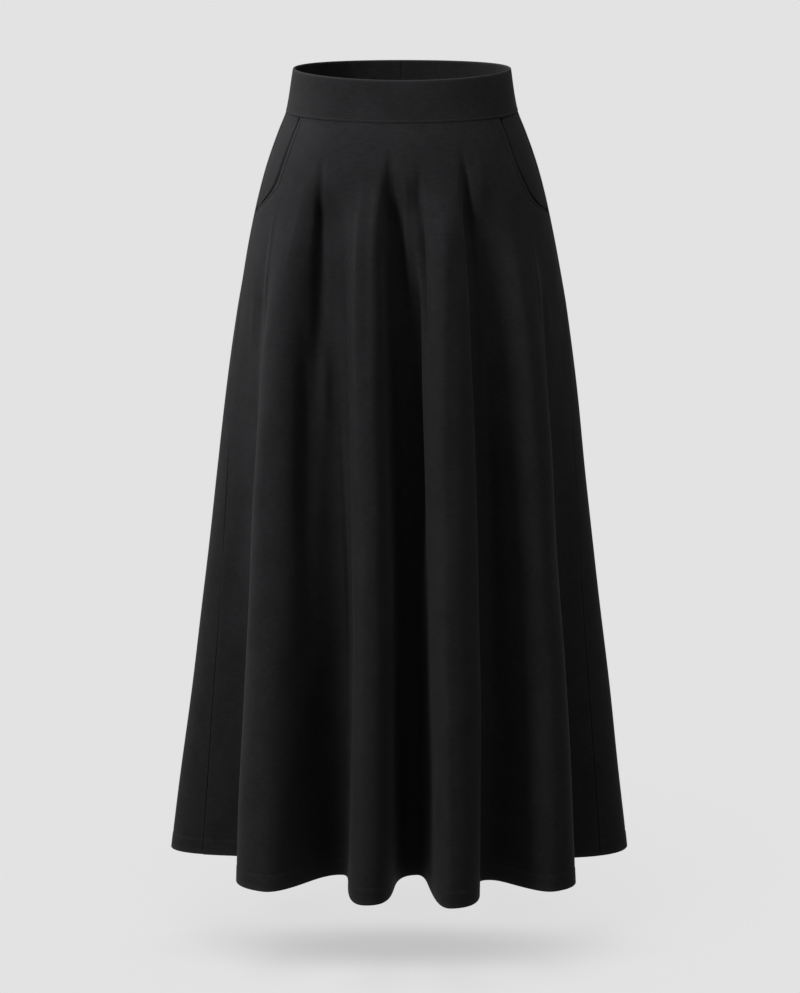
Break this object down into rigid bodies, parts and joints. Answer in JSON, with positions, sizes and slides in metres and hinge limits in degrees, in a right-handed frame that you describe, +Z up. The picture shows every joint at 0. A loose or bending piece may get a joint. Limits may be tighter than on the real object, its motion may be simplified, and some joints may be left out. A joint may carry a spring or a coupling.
{
  "type": "maxi skirt",
  "caption": "Pull-on maxi skirt with a plain waistband, slanted hip pockets and deep flared folds down to a wide hem, filled out as worn",
  "frame": {"origin": "on the centre line of the waist, half way down the waistband, where the wearer's waist holds the skirt", "axes": "+Z up, along the skirt's length; the front faces -Y; the wearer's right side is -X"},
  "size_m": [0.5494, 0.3932, 0.945],
  "materials": {
    "skirt_cloth": "matt black stretch crepe with a fine grain",
    "waistband_cloth": "matt black stretch crepe, doubled",
    "pocket_cloth": "thin plain black pocketing"
  },
  "bodies": {
    "root": {"waistband": "waistband_cloth", "front_panel": "skirt_cloth", "back_panel": "skirt_cloth", "hip_piece_left": "skirt_cloth", "hip_piece_right": "skirt_cloth", "pocket_bag_left": "pocket_cloth", "pocket_bag_right": "pocket_cloth"}
  },
  "joints": []
}
